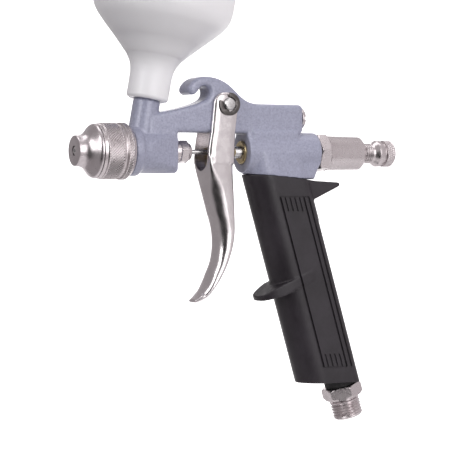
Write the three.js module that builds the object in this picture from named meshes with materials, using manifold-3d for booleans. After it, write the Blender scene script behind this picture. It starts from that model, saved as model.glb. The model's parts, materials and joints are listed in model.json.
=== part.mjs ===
// HVLP gravity-feed spray gun, built as the separate pieces it comes apart into.
// Millimetres, +Z up, nozzle toward -X, adjusting knob toward +X, mid-plane Y = 0.
// The pieces are laid out from the barrel axis (X along the needle, Z = 0 on the needle).
// The whole gun is then moved so that the centre of the air inlet's end face is the origin.
import * as THREE from "three";
import { mergeVertices } from "three/addons/utils/BufferGeometryUtils.js";
import Module from "manifold-3d";

const wasm = await Module();
wasm.setup();

// ---------------------------------------------------------------- driving dimensions
const FIT = 0.3; // clearance between neighbouring pieces
const ROUND = 24; // segments round a turned piece
const FINE = 14; // segments round a small piece
const WIDE = 28; // segments round the cup

const NEEDLE_R = 1.0;
const BLOCK_R = 9.2; // front block of the body
const REAR_R = 8.9; // rear block of the body
const BLOCK_FRONT = -46.5;
const BLOCK_REAR = -27.3; // front edge of the trigger window
const CHEEK_START = -41.6; // from here the front block's cheeks taper in to the beam
const REAR_FRONT = 5.5; // rear edge of the trigger window
const REAR_END = 40.5;
const WEB_HALF = 5.8; // half the width of the beam and its hook
const WEB_UNDER = 8.1; // height of the window's roof
const WEB_TOP = 20.8;
const SPIGOT_R = 9.3; // male thread that the retaining ring runs on
const SPIGOT_FRONT = -57;
const CHAMBER_R = 6.3; // air valve chamber
const CHANNEL_Z = 15.0; // air channel through the beam
const CHANNEL_R = 1.95;

const PIN = { x: -4.5, z: 20.3, r: 2.5 }; // trigger pivot
const EAR_INNER = WEB_HALF + FIT; // inner face of each trigger ear
const TRIGGER_HALF = 8.0; // half the trigger's width at the ears
const CROTCH_Z = -7; // where the two ears join

const CUP_TILT = THREE.MathUtils.degToRad(10.5);
const CUP_ROOT_X = -43.3; // where the cup axis meets the needle
const CUP_BASE_Z = 19.7; // height of the cup frame's origin
const CUP_R = 30;
const CUP_WALL = 1.8;
const CUP_TOP = 92;
const NECK_R = 8.4;
const STUB_R = 5.75;

const GRIP_TILT = THREE.MathUtils.degToRad(-16.3);
const GRIP_X = 20.55; // middle of the grip at its top
const GRIP_Z = -9.9;
const GRIP_DEPTH = 26.5;
const GRIP_WIDTH = 19;
const GRIP_WALL = 1.5;
const GRIP_FLOOR = -100.5; // underside of the grip, level
const INLET_OFFSET = 6.97; // inlet axis behind the middle of the grip
const INLET_END = -112.8;
const G14_R = 13.157 / 2; // G 1/4 male thread
const SHANK_R = 3.5; // inlet shank, screwed up into the handle core

// ---------------------------------------------------------------- geometry helpers
const vec = (x, y) => new THREE.Vector2(x, y);

// A closed mesh as a manifold solid, facing out, with vertices merged and slivers dropped.
function solid(geometry) {
  const bare = geometry.clone();
  bare.deleteAttribute("normal");
  bare.deleteAttribute("uv");
  const merged = mergeVertices(bare, 1e-4);
  const index = merged.index.array;
  const kept = [];
  for (let i = 0; i < index.length; i += 3) {
    const [a, b, c] = [index[i], index[i + 1], index[i + 2]];
    if (a !== b && b !== c && c !== a) kept.push(a, b, c);
  }
  const make = (order) => new wasm.Manifold(new wasm.Mesh({
    numProp: 3,
    vertProperties: new Float32Array(merged.attributes.position.array),
    triVerts: new Uint32Array(order),
  }));
  const first = make(kept);
  if (first.volume() > 0) return first;
  for (let i = 0; i < kept.length; i += 3) [kept[i + 1], kept[i + 2]] = [kept[i + 2], kept[i + 1]];
  return make(kept);
}

// Back from a manifold solid to a flat-shaded geometry.
function surface(body) {
  const mesh = body.getMesh();
  const geometry = new THREE.BufferGeometry();
  geometry.setAttribute("position", new THREE.BufferAttribute(new Float32Array(mesh.vertProperties), 3));
  geometry.setIndex(new THREE.BufferAttribute(new Uint32Array(mesh.triVerts), 1));
  const flat = geometry.toNonIndexed();
  flat.computeVertexNormals();
  return flat;
}

// A turned solid about +Z from [height, radius] points; the profile closes on itself or on the axis.
function turned(profile, segments = ROUND) {
  const points = profile.map(([height, radius]) => vec(radius, height));
  const closed = profile[0][1] > 0;
  if (closed) points.push(points[0].clone());
  return new THREE.LatheGeometry(points, segments).rotateX(Math.PI / 2);
}

// The same about +X.
const turnedX = (profile, segments) => turned(profile, segments).rotateY(Math.PI / 2);

// A plain ring or tube from height a to b, between two radii; a zero inner radius makes a rod.
function tube(a, b, inner, outer, chamfer = 0) {
  if (inner === 0) {
    return [[a, 0], [a, outer - chamfer], [a + chamfer, outer], [b - chamfer, outer],
      [b, outer - chamfer], [b, 0]];
  }
  return [[a, inner], [a, outer - chamfer], [a + chamfer, outer], [b - chamfer, outer],
    [b, outer - chamfer], [b, inner]];
}

const rodX = (a, b, r, segments = FINE) => turnedX([[a, 0], [a, r], [b, r], [b, 0]], segments);
const rodZ = (a, b, r, segments = FINE) => turned([[a, 0], [a, r], [b, r], [b, 0]], segments);

// The outline of a Shape as straight edges, with repeated points dropped.
function traced(shape, divisions = 5) {
  const kept = [];
  for (const point of shape.getPoints(divisions)) {
    const last = kept[kept.length - 1];
    if (!last || point.distanceTo(last) > 0.02) kept.push(point);
  }
  if (kept[0].distanceTo(kept[kept.length - 1]) < 0.02) kept.pop();
  return new THREE.Shape(kept);
}

// An outline in the XZ plane given as a Shape, swept across Y over the full width.
function slab(shape, width, bevel = 0) {
  const options = { depth: width - 2 * bevel, bevelEnabled: bevel > 0, bevelSize: bevel,
    bevelThickness: bevel, bevelOffset: -bevel, bevelSegments: 1 };
  return new THREE.ExtrudeGeometry(traced(shape), options)
    .translate(0, 0, bevel - width / 2).rotateX(Math.PI / 2);
}

function outline(points) {
  return new THREE.Shape(points.map(([x, z]) => vec(x, z)));
}

// A prism about +Z: a Shape in the XY plane from height a to b.
function prism(shape, a, b) {
  return new THREE.ExtrudeGeometry(traced(shape), { depth: b - a, bevelEnabled: false })
    .translate(0, 0, a);
}

// A front view in the YZ plane given as a Shape, swept along X from a to b.
function facing(shape, a, b) {
  return prism(shape, 0, b - a).rotateX(Math.PI / 2).rotateZ(Math.PI / 2).translate(a, 0, 0);
}

// Hexagon across flats as a prism about +Z with both ends chamfered, turned by an angle.
function hexagon(flats, a, b, turn = 0, chamfer = 0.7) {
  const corner = flats / Math.sqrt(3);
  const points = [];
  for (let i = 0; i < 6; i += 1) {
    const angle = turn + (i * Math.PI) / 3;
    points.push(vec(corner * Math.cos(angle), corner * Math.sin(angle)));
  }
  const sides = solid(prism(new THREE.Shape(points), a, b));
  return sides.intersect(solid(turned(tube(a, b, 0, corner + 0.01, chamfer))));
}

// A coil spring about +X.
function coil(from, to, radius, wire, turns) {
  class Helix extends THREE.Curve {
    getPoint(t, target = new THREE.Vector3()) {
      const angle = t * turns * 2 * Math.PI;
      const x = THREE.MathUtils.lerp(from + wire, to - wire, t);
      return target.set(x, radius * Math.cos(angle), radius * Math.sin(angle));
    }
  }
  const section = new THREE.Shape();
  section.absarc(0, 0, wire, 0, 2 * Math.PI, false);
  return new THREE.ExtrudeGeometry(section,
    { steps: Math.round(turns * 9), extrudePath: new Helix(), curveSegments: 3, bevelEnabled: false });
}

// ---------------------------------------------------------------- materials
function finish(color, roughness, metalness, extra = {}) {
  return new THREE.MeshStandardMaterial({ color, roughness, metalness, ...extra });
}
const hammertone = () => finish(0x9ea2bb, 0.45, 0.3);
const nickel = () => finish(0xc9c3c1, 0.25, 1.0);
const chrome = () => finish(0xdedad8, 0.12, 1.0);
const steel = () => finish(0xb9b9bb, 0.3, 1.0);
const springSteel = () => finish(0x8d8d90, 0.35, 1.0);
const brass = () => finish(0xb5994f, 0.3, 1.0);
const darkSteel = () => finish(0x55504f, 0.4, 1.0);
const gripPlastic = () => finish(0x2b292c, 0.55, 0.0);
const cupPlastic = () => finish(0xe9e9f0, 0.4, 0.0, { transparent: true, opacity: 0.8 });
const lidPlastic = () => finish(0x2a2a2c, 0.5, 0.0);
const sealPlastic = () => finish(0xf2efe6, 0.5, 0.0);
const rubber = () => finish(0x1d1c1d, 0.8, 0.0);

function piece(name, shape, material) {
  const geometry = shape.isBufferGeometry ? surface(solid(shape)) : surface(shape);
  const mesh = new THREE.Mesh(geometry, material);
  mesh.name = name;
  return mesh;
}

// ---------------------------------------------------------------- groups and their frames
const gun = new THREE.Group(); // barrel frame
const cup = new THREE.Group(); // +Z along the cup
cup.position.set(CUP_ROOT_X + CUP_BASE_Z * Math.tan(CUP_TILT), 0, CUP_BASE_Z);
cup.rotation.y = CUP_TILT;
const handle = new THREE.Group(); // +Z up along the grip
handle.position.set(GRIP_X, 0, GRIP_Z);
handle.rotation.y = GRIP_TILT;
gun.add(cup, handle);
cup.updateMatrix();
handle.updateMatrix();
const inCup = (geometry) => geometry.applyMatrix4(cup.matrix);
const inHandle = (geometry) => geometry.applyMatrix4(handle.matrix);

// ---------------------------------------------------------------- gun body
// The beam over the trigger window with the hanging hook, as one outline.
function webShape() {
  const shape = new THREE.Shape();
  shape.moveTo(-41, 3);
  shape.lineTo(-41, 15.2);
  shape.lineTo(-33, 16.9);
  shape.quadraticCurveTo(-20, 19.3, -15.2, 21.6);
  shape.quadraticCurveTo(-12.2, 22.8, -12.2, 25.2);
  shape.quadraticCurveTo(-12.2, 28.0, -14.6, 28.0);
  shape.quadraticCurveTo(-16.2, 28.0, -17.4, 26.0);
  shape.quadraticCurveTo(-19.2, 23.3, -21.2, 24.5);
  shape.quadraticCurveTo(-23.0, 25.8, -21.6, 28.2);
  shape.quadraticCurveTo(-19.0, 32.0, -14.0, 32.0);
  shape.bezierCurveTo(-8.0, 32.0, -4.2, 30.2, 0.0, 26.4);
  shape.bezierCurveTo(4.0, 22.6, 6.5, WEB_TOP, 12.0, WEB_TOP);
  shape.lineTo(31.6, WEB_TOP);
  shape.lineTo(33.0, 19.4);
  shape.lineTo(33.0, 3);
  shape.lineTo(REAR_FRONT, 3);
  shape.lineTo(REAR_FRONT, WEB_UNDER);
  shape.lineTo(BLOCK_REAR, WEB_UNDER);
  shape.lineTo(BLOCK_REAR, 3);
  return shape;
}

// The grip's cross-section in the handle frame: a half-round front and a squarer back.
function gripSection(depth, width, corner) {
  const half = depth / 2;
  const side = width / 2;
  const shape = new THREE.Shape();
  shape.moveTo(half - corner, side);
  shape.absarc(-half + side, 0, side, Math.PI / 2, (3 * Math.PI) / 2, false);
  shape.lineTo(half - corner, -side);
  shape.absarc(half - corner, -side + corner, corner, -Math.PI / 2, 0, false);
  shape.absarc(half - corner, side - corner, corner, 0, Math.PI / 2, false);
  return shape;
}

const CORE_DEPTH = GRIP_DEPTH - 2 * GRIP_WALL - 2 * FIT;
const CORE_WIDTH = GRIP_WIDTH - 2 * GRIP_WALL - 2 * FIT;
const CORE_FLOOR = -92.5;

// The cast shape before it is drilled.
function bodyCasting() {
  const cheeks = solid(prism(outline([[-58, -12], [CHEEK_START, -12], [CHEEK_START, -BLOCK_R],
    [BLOCK_REAR + 1, -WEB_HALF], [BLOCK_REAR + 1, WEB_HALF], [CHEEK_START, BLOCK_R],
    [CHEEK_START, 12], [-58, 12]]), -12, 12));
  const blockFront = solid(turnedX([[SPIGOT_FRONT, 0], [SPIGOT_FRONT, SPIGOT_R - 0.5],
    [SPIGOT_FRONT + 0.5, SPIGOT_R], [BLOCK_FRONT - 1.8, SPIGOT_R], [BLOCK_FRONT - 1.8, 10.5],
    [BLOCK_FRONT + 1.6, 10.5], [BLOCK_FRONT + 3, BLOCK_R], [BLOCK_REAR - 1.4, BLOCK_R],
    [BLOCK_REAR, BLOCK_R - 1.4], [BLOCK_REAR, 0]])).intersect(cheeks);
  const keel = solid(prism(outline([[-47, -0.6], [BLOCK_REAR, -WEB_HALF], [BLOCK_REAR, WEB_HALF],
    [-47, 0.6]]), -BLOCK_R, 0));
  const blockRear = solid(turnedX([[REAR_FRONT, 0], [REAR_FRONT, REAR_R - 0.6],
    [REAR_FRONT + 0.6, REAR_R], [REAR_END - 0.6, REAR_R], [REAR_END, REAR_R - 0.6],
    [REAR_END, 0]]));
  const web = solid(slab(webShape(), 2 * WEB_HALF, 0.9));
  const stub = solid(inCup(turned([[-20, 0], [-20, STUB_R], [-1.6, STUB_R], [-1.6, 5.0],
    [9.6, 5.0], [10.1, 4.5], [10.1, 0]])));
  const foot = solid(inHandle(prism(gripSection(GRIP_DEPTH - 0.6, GRIP_WIDTH - 0.6, 4), -24, 12)));
  const saddle = solid(slab(outline([[4, 0], [4, -9.1], [7.1, -9.1], [34.4, -11.3], [37.4, -11.5],
    [36.5, -6], [34, 0]]), 30)).intersect(foot);
  const core = solid(inHandle(prism(gripSection(CORE_DEPTH, CORE_WIDTH, 3), CORE_FLOOR, 1)));
  return blockFront.add(keel).add(blockRear).add(web).add(stub).add(saddle).add(core);
}

// Every bore in the body: fluid way, packing, valve chamber, beam channel, pivot and handle.
function bodyBores() {
  const bores = [
    rodX(SPIGOT_FRONT - 1, -47.6, 4.9, FINE), // nozzle shank
    rodX(-48, -38, 2.4, FINE), // fluid chamber
    rodX(-39, -36, 1.5, 14),
    rodX(-36.6, BLOCK_REAR + 1, 3.9, FINE), // packing
    rodX(REAR_FRONT - 1, 9.6, 5.3, FINE), // valve gland
    rodX(9, 13.4, 3.6, FINE),
    rodX(13, REAR_END + 1, CHAMBER_R), // valve chamber
    rodX(-52, 34, CHANNEL_R, 14).translate(0, 0, CHANNEL_Z),
    rodX(27.8, 34, 3.3, FINE).translate(0, 0, CHANNEL_Z), // plug thread
    rodZ(2, CHANNEL_Z, 1.8, 12).translate(11.3, 0, 0),
    inCup(rodZ(-18.6, 11, 2.9, FINE)),
  ];
  const pin = rodZ(-8, 8, PIN.r + 0.15, FINE).rotateX(Math.PI / 2).translate(PIN.x, 0, PIN.z);
  const inlet = inHandle(rodZ(-100, -80, SHANK_R + FIT, FINE).translate(INLET_OFFSET, 0, 0));
  const riser = inHandle(rodZ(-82, 4, 2.6, 16).translate(INLET_OFFSET, 0, 0));
  const all = [...bores, pin, inlet, riser].map(solid);
  for (let i = 0; i < 6; i += 1) {
    const angle = (i * Math.PI) / 3 + Math.PI / 6;
    all.push(solid(rodX(SPIGOT_FRONT - 1, -47.6, 0.8, 8)
      .translate(0, 6.9 * Math.cos(angle), 6.9 * Math.sin(angle))));
  }
  return all.reduce((joined, next) => joined.add(next));
}

gun.add(piece("gun_body", bodyCasting().subtract(bodyBores()), hammertone()));

// ---------------------------------------------------------------- nose
const RING_FRONT = -63.2;
const RING_REAR = -48.7;
const CAP_SEAM = RING_FRONT - FIT;

function airCap() {
  return turnedX([[-72.5, 2.9], [-72.5, 5.9], [-72.1, 6.4], [-70.5, 6.55], [-69.6, 6.8],
    [-67.4, 8.7], [-65, 10.7], [CAP_SEAM - 0.6, 11.35], [CAP_SEAM, 11.4], [CAP_SEAM, 9.0],
    [-60.7, 9.0], [-60.7, 8.5], [-59.8, 8.5], [-59.8, 9.0], [-58.2, 9.0], [-58.2, 7.9],
    [-64.5, 7.9], [-70.6, 3.1], [-71.2, 2.9]]);
}

function retainingRing() {
  return turnedX([[RING_FRONT, 9.3], [RING_FRONT, 11.4], [-61.4, 11.5], [-61.0, 11.8],
    [-54.4, 11.8], [-54.0, 11.3], [-52.6, 11.3], [-52.2, 12.0], [-50.4, 12.0], [-49.9, 11.4],
    [RING_REAR, 10.9], [RING_REAR, SPIGOT_R + FIT], [-57.4, SPIGOT_R + FIT], [-57.4, 10.4],
    [-60.7, 10.4], [-60.7, 9.3]]);
}

function capSnapRing() {
  return turnedX(tube(-60.4, -60.0, 8.65, 9.9));
}

function fluidNozzle() {
  return turnedX([[-72.0, 0.75], [-72.0, 1.9], [-70.4, 2.1], [-65.6, 5.2], [-65.6, 6.4],
    [-60.6, 6.4], [-60.6, 7.4], [-58.6, 7.4], [-58.6, 4.6], [-48.2, 4.6], [-48.2, 2.4],
    [-66.5, 2.4], [-68.6, 1.7], [-71.3, 0.75]]);
}

gun.add(piece("air_cap", airCap(), chrome()));
gun.add(piece("air_cap_ring", retainingRing(), nickel()));
gun.add(piece("cap_snap_ring", capSnapRing(), springSteel()));
gun.add(piece("fluid_nozzle", fluidNozzle(), steel()));
gun.add(piece("nozzle_gasket", turnedX(tube(-58.3, -57.3, 4.95, 7.4)), sealPlastic()));

// ---------------------------------------------------------------- needle and its packing
const NEEDLE_TIP = -71.6;
const NEEDLE_TAIL = 66;
const CHUCK = { from: 45.2, to: 50.2, r: 4.3 };

function fluidNeedle() {
  return turnedX([[NEEDLE_TIP, 0], [NEEDLE_TIP, 0.35], [-68.8, NEEDLE_R],
    [NEEDLE_TAIL - 0.6, NEEDLE_R], [NEEDLE_TAIL, 0.5], [NEEDLE_TAIL, 0]], 16);
}

function packingNut() {
  const head = hexagon(9.2, BLOCK_REAR + FIT, -21.4, 0.2).add(solid(turned(
    tube(-22, -19.6, 0, 3.7, 0.5))));
  const shank = solid(turned(tube(-32, BLOCK_REAR + 1, 0, 3.6), FINE));
  const bore = solid(rodZ(-33, -19, NEEDLE_R + FIT, 16));
  return surface(head.add(shank).subtract(bore)).rotateY(Math.PI / 2);
}

gun.add(piece("fluid_needle", fluidNeedle(), steel()));
gun.add(piece("needle_chuck", turnedX(tube(CHUCK.from, CHUCK.to, NEEDLE_R + 0.12, CHUCK.r, 0.5),
  24), brass()));
gun.add(piece("needle_packing", turnedX(tube(-36.3, -32.3, NEEDLE_R + 0.2, 3.6), FINE),
  sealPlastic()));
gun.add(piece("packing_nut", packingNut(), chrome()));

// ---------------------------------------------------------------- air valve
const STEM = { front: 0.4, r: 2.6, tail: 44.9, tailR: 1.95, bore: 1.3 };
const SEAT = { from: 13.3, to: 16 };

function valveStem() {
  return turnedX([[STEM.front, STEM.bore], [STEM.front, STEM.r - 0.4], [STEM.front + 0.4, STEM.r],
    [15.2, STEM.r], [16.5, 4.4], [17.1, 5.2], [19.2, 5.2], [19.2, STEM.r], [24, STEM.r],
    [24, STEM.tailR], [STEM.tail, STEM.tailR], [STEM.tail, STEM.bore]], FINE);
}

gun.add(piece("air_valve_stem", valveStem(), steel()));
gun.add(piece("air_valve_gland", turnedX(tube(4.7, 9.3, STEM.r + FIT, 5.0, 0.4), FINE), brass()));
gun.add(piece("air_valve_seat", turnedX(tube(SEAT.from + 0.1, SEAT.to, 3.7, CHAMBER_R - 0.3), FINE),
  sealPlastic()));
gun.add(piece("air_valve_spring", coil(19.5, 33.6, 4.1, 0.45, 7), springSteel()));

// ---------------------------------------------------------------- spring housing and knob
const HOUSING = { spigot: 34, front: 41.3, hexEnd: 46.2, neck: 63, end: 65, bore: 4.75 };
const HOUSING_HEX = 15;

function springHousing() {
  const hex = hexagon(HOUSING_HEX, HOUSING.front, HOUSING.hexEnd, 0.26);
  const barrel = solid(turned([[HOUSING.spigot, 0], [HOUSING.spigot, CHAMBER_R - FIT],
    [HOUSING.front + 1, CHAMBER_R - FIT], [HOUSING.hexEnd - 0.5, 7.6], [HOUSING.neck, 7.3],
    [HOUSING.end - 0.3, 5.6], [HOUSING.end, 5.3], [HOUSING.end, 0]]));
  const bore = solid(rodZ(44.2, HOUSING.end + 1, HOUSING.bore));
  const guide = solid(rodZ(HOUSING.spigot - 1, 45, STEM.tailR + FIT, FINE));
  return surface(hex.add(barrel).subtract(bore).subtract(guide)).rotateY(Math.PI / 2);
}

function fluidKnob() {
  return turnedX([[62.6, 1.7], [62.6, 3.9], [63.1, 4.4], [69.6, 4.4], [70.3, 4.5], [72.2, 5.8],
    [74.2, 5.8], [74.2, 4.9], [75.8, 4.9], [75.8, 5.8], [79.3, 5.8], [80.3, 4.9], [80.3, 0],
    [75, 0], [74.2, 1.7]]);
}

gun.add(piece("spring_housing", springHousing(), nickel()));
gun.add(piece("housing_seal", turnedX(tube(REAR_END + 0.15, HOUSING.front - 0.15, 6.4, 8.0), FINE),
  darkSteel()));
gun.add(piece("spring_guide", turnedX(tube(60, 62.3, 1.6, 4.4, 0.3), FINE), brass()));
gun.add(piece("needle_spring", coil(50.5, 59.7, 3.6, 0.4, 5), springSteel()));
gun.add(piece("fluid_knob", fluidKnob(), nickel()));

// ---------------------------------------------------------------- channel plug
function channelPlug() {
  const head = solid(turned([[33.3, 0], [33.3, 4.6], [34.6, 4.6], [35.2, 3.9], [35.2, 0]], FINE));
  const shank = solid(rodZ(28.2, 33.6, 3.0, FINE));
  const slot = solid(new THREE.BoxGeometry(1.2, 12, 1.1).translate(0, 0, 35.2));
  return surface(head.add(shank).subtract(slot)).rotateY(Math.PI / 2).translate(0, 0, CHANNEL_Z);
}

gun.add(piece("channel_plug", channelPlug(), nickel()));

// ---------------------------------------------------------------- trigger
const PIN_LENGTH = { far: 8.9, near: -9.6 };
const CLIP_Y = -8.6; // middle of the clip, in its groove just outside the near ear
const CLIP_HALF = 0.35;
const ROLLER = { x: -2.9, r: 3.0 };

// Side view of the trigger: ears round the pin, a push lobe at the needle and a curled finger blade.
function triggerShape() {
  const shape = new THREE.Shape();
  shape.moveTo(-11.2, PIN.z);
  shape.absarc(PIN.x - 1.6, PIN.z, 5.1, Math.PI, Math.PI / 2, true);
  shape.absarc(PIN.x, PIN.z, 5.1, Math.PI / 2, 0, true);
  shape.lineTo(-0.9, 8);
  shape.lineTo(-1.2, 0);
  shape.quadraticCurveTo(-1.3, -3, -1.4, -6.4);
  shape.bezierCurveTo(-1.4, -15, -0.2, -27, -0.4, -34);
  shape.bezierCurveTo(-0.8, -44, -5.0, -52, -10.6, -59.2);
  shape.quadraticCurveTo(-13.2, -63.4, -17.2, -64.4);
  shape.lineTo(-18.4, -64.0);
  shape.lineTo(-18.2, -62.6);
  shape.bezierCurveTo(-13, -59.5, -9, -53.2, -7.3, -48);
  shape.bezierCurveTo(-5.4, -41, -5.8, -34, -8.2, -27.4);
  shape.quadraticCurveTo(-11.5, -15, -13.9, -5.5);
  shape.quadraticCurveTo(-13.9, 2, -12.5, 8);
  return shape;
}

// Front view of the trigger, which narrows down to its curled tip.
function triggerFront() {
  const shape = new THREE.Shape();
  shape.moveTo(TRIGGER_HALF, 30);
  shape.lineTo(TRIGGER_HALF, -8);
  shape.bezierCurveTo(7.6, -20, 6.3, -35, 6.0, -48);
  shape.bezierCurveTo(5.8, -58, 4.6, -64, 0, -66);
  shape.bezierCurveTo(-4.6, -64, -5.8, -58, -6.0, -48);
  shape.bezierCurveTo(-6.3, -35, -7.6, -20, -TRIGGER_HALF, -8);
  shape.lineTo(-TRIGGER_HALF, 30);
  return shape;
}

function trigger() {
  const side = solid(slab(triggerShape(), 2 * TRIGGER_HALF, 0.5));
  const front = solid(facing(triggerFront(), -25, 15));
  const gap = new THREE.Shape();
  gap.moveTo(EAR_INNER, 30);
  gap.lineTo(EAR_INNER, CROTCH_Z + 5);
  gap.absarc(0, CROTCH_Z + 5, EAR_INNER, 0, -Math.PI, true);
  gap.lineTo(-EAR_INNER, 30);
  const opening = solid(facing(gap, -30, 30));
  const pinHole = solid(rodZ(-12, 12, PIN.r + 0.15, FINE).rotateX(Math.PI / 2)
    .translate(PIN.x, 0, PIN.z));
  return side.intersect(front).subtract(opening).subtract(pinHole);
}

function triggerRoller() {
  const roller = solid(turned(tube(-5.8, 5.8, 0, ROLLER.r, 0.4), FINE).rotateX(Math.PI / 2)
    .translate(ROLLER.x, 0, 0));
  return roller.subtract(solid(rodX(-12, 8, 2.3, FINE)));
}

// The pin is a plain rod with a groove near its end for the clip.
function triggerPin() {
  return turned([[PIN_LENGTH.near, 0], [PIN_LENGTH.near, 2.1], [PIN_LENGTH.near + 0.4, PIN.r],
    [CLIP_Y - 0.5, PIN.r], [CLIP_Y - 0.5, 1.9], [CLIP_Y + 0.5, 1.9], [CLIP_Y + 0.5, PIN.r],
    [8.3, PIN.r], [8.3, 3.6], [PIN_LENGTH.far, 3.4], [PIN_LENGTH.far, 0]], FINE)
    .rotateX(-Math.PI / 2).translate(PIN.x, 0, PIN.z);
}

// E-clip: an open ring whose three lugs grip the pin's groove.
function triggerClip() {
  const outer = 4.9;
  const shape = new THREE.Shape();
  const gapFrom = THREE.MathUtils.degToRad(160);
  const gapTo = THREE.MathUtils.degToRad(92);
  shape.absarc(0, 0, outer, gapFrom, gapTo, false);
  shape.absarc(0, 0, 2.15, gapTo, gapFrom, true);
  return new THREE.ExtrudeGeometry(traced(shape, 12), { depth: 2 * CLIP_HALF, bevelEnabled: false })
    .translate(0, 0, -CLIP_HALF).rotateX(Math.PI / 2).translate(PIN.x, CLIP_Y, PIN.z);
}

gun.add(piece("trigger", trigger(), chrome()));
gun.add(piece("trigger_roller", triggerRoller(), brass()));
gun.add(piece("trigger_pin", triggerPin(), steel()));
gun.add(piece("trigger_clip", triggerClip(), darkSteel()));

// ---------------------------------------------------------------- grip
// Side view of the sleeve in the barrel frame: sloped top, level floor and thumb spur.
function sleeveShape() {
  return outline([[2, -9.4], [16, -9.9], [34.6, -11.7], [38, -12.2], [49.3, -12.8], [50.3, -13.3],
    [50.2, -14.2], [49.4, -14.8], [37.3, -20.4], [60.2, -98.5], [64.5, GRIP_FLOOR], [20, GRIP_FLOOR]]);
}

// The finger rest is a blade across the front that tapers into both sides.
function fingerRest() {
  const plan = new THREE.Shape();
  plan.moveTo(3, 9.6);
  plan.bezierCurveTo(-8, 10.2, -19.5, 9.4, -21.7, 4.2);
  plan.quadraticCurveTo(-22.9, 0, -21.7, -4.2);
  plan.bezierCurveTo(-19.5, -9.4, -8, -10.2, 3, -9.6);
  const blade = solid(prism(plan, -54, -40));
  const wedge = solid(slab(outline([[-26, -47.4], [-12, -44.8], [6, -43.4], [6, -46.8],
    [-6, -49.0], [-13, -50.4], [-22, -50.2], [-26, -49.8]]), 30));
  return blade.intersect(wedge);
}

function gripSleeve() {
  const tower = solid(prism(gripSection(GRIP_DEPTH, GRIP_WIDTH, 4), -120, 20));
  const spur = solid(new THREE.BoxGeometry(26, 15, 26).translate(21, 0, -11));
  const toHandle = handle.matrix.clone().invert();
  const side = solid(slab(sleeveShape(), 2 * GRIP_WIDTH).applyMatrix4(toHandle));
  const shell = tower.add(spur).intersect(side).add(fingerRest());
  const cavity = solid(prism(gripSection(CORE_DEPTH + 2 * FIT, CORE_WIDTH + 2 * FIT, 3.2),
    CORE_FLOOR - FIT, 20));
  const mouth = solid(rodZ(-110, -80, SHANK_R + FIT, FINE).translate(INLET_OFFSET, 0, 0));
  return shell.subtract(cavity).subtract(mouth);
}

handle.add(piece("grip_sleeve", gripSleeve(), gripPlastic()));

// ---------------------------------------------------------------- air inlet
const INLET = { shankTop: -84, hexTop: -98.3, hexFloor: -103.6, thread: -104.8 };

function airInlet() {
  const hex = hexagon(15.5, INLET.hexFloor, INLET.hexTop, 0.47 + Math.PI / 6, 0.9);
  const turnedPart = solid(turned([[INLET_END, 0], [INLET_END, 5.7], [INLET_END + 0.9, G14_R],
    [INLET.thread, G14_R], [INLET.thread, 5.6], [INLET.hexFloor + 0.5, 5.6],
    [INLET.hexTop - 0.5, SHANK_R], [INLET.shankTop, SHANK_R], [INLET.shankTop, 0]]));
  const bore = solid(rodZ(INLET_END - 1, INLET.shankTop + 1, 2.3, FINE));
  const mouth = solid(turned([[INLET_END - 1, 0], [INLET_END - 1, 4.6], [INLET.thread, 4.6],
    [INLET.thread + 2.3, 2.3], [INLET.thread + 2.3, 0]], FINE));
  return hex.add(turnedPart).subtract(bore).subtract(mouth);
}

// The collar fills the wedge between the level floor of the grip and the tilted hexagon.
function inletCollar() {
  const ring = solid(turned(tube(INLET.hexTop + FIT, -90, SHANK_R + FIT, 6.9)));
  const wedge = slab(outline([[20, GRIP_FLOOR - FIT], [90, GRIP_FLOOR - FIT], [90, -120], [20, -120]]), 40);
  const toInlet = handle.matrix.clone().invert();
  toInlet.premultiply(new THREE.Matrix4().makeTranslation(-INLET_OFFSET, 0, 0));
  return ring.intersect(solid(wedge.applyMatrix4(toInlet)));
}

const inletParts = new THREE.Group();
inletParts.position.x = INLET_OFFSET;
inletParts.add(piece("air_inlet_nipple", airInlet(), nickel()));
inletParts.add(piece("inlet_collar", inletCollar(), rubber()));
handle.add(inletParts);

// ---------------------------------------------------------------- cup
// Heights are along the cup axis from its frame's origin.
const FUNNEL = [[8, 8.8], [12.7, 9.45], [14.8, 10.3], [18.8, 12.9], [21, 15.0],
  [28.9, 23.2], [33.3, 27.3], [36.6, 29.3], [40.5, CUP_R]];
const FLOOR = 12.0; // top of the cup's inner floor

function cupBody() {
  const outer = [[-1.2, 7.4], [-0.2, NECK_R], ...FUNNEL, [CUP_TOP - 10, CUP_R],
    [CUP_TOP - 10, CUP_R - 0.8], [CUP_TOP, CUP_R - 0.8]];
  const inner = [[CUP_TOP, CUP_R - 0.8 - CUP_WALL], [CUP_TOP - 10, CUP_R - 0.8 - CUP_WALL],
    [41, CUP_R - 0.8 - CUP_WALL], [35.5, 26.2], [20, 11.6], [15, 7.2],
    [FLOOR, 5.6], [FLOOR, 3.2], [10.9, 3.2], [10.9, 5.3], [-1.2, 5.3]];
  return turned([...outer, ...inner], WIDE);
}

// A thimble of fine mesh that stands in the cup's outlet.
function strainer() {
  return turned([[11.2, 1.9], [11.2, 2.7], [FLOOR + 0.3, 2.7], [FLOOR + 0.3, 4.6],
    [FLOOR + 1.1, 4.6], [FLOOR + 1.1, 2.9], [27, 2.2], [28, 1.4], [28, 0], [27.2, 0],
    [26.4, 1.4], [13.6, 2.0]], 20);
}

const LID = { skirt: CUP_TOP - 9.4, under: CUP_TOP + 1.4, top: CUP_TOP + 3.8, r: 32 };
const VENT = { r: 3.0, top: CUP_TOP + 9.5 };

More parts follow.
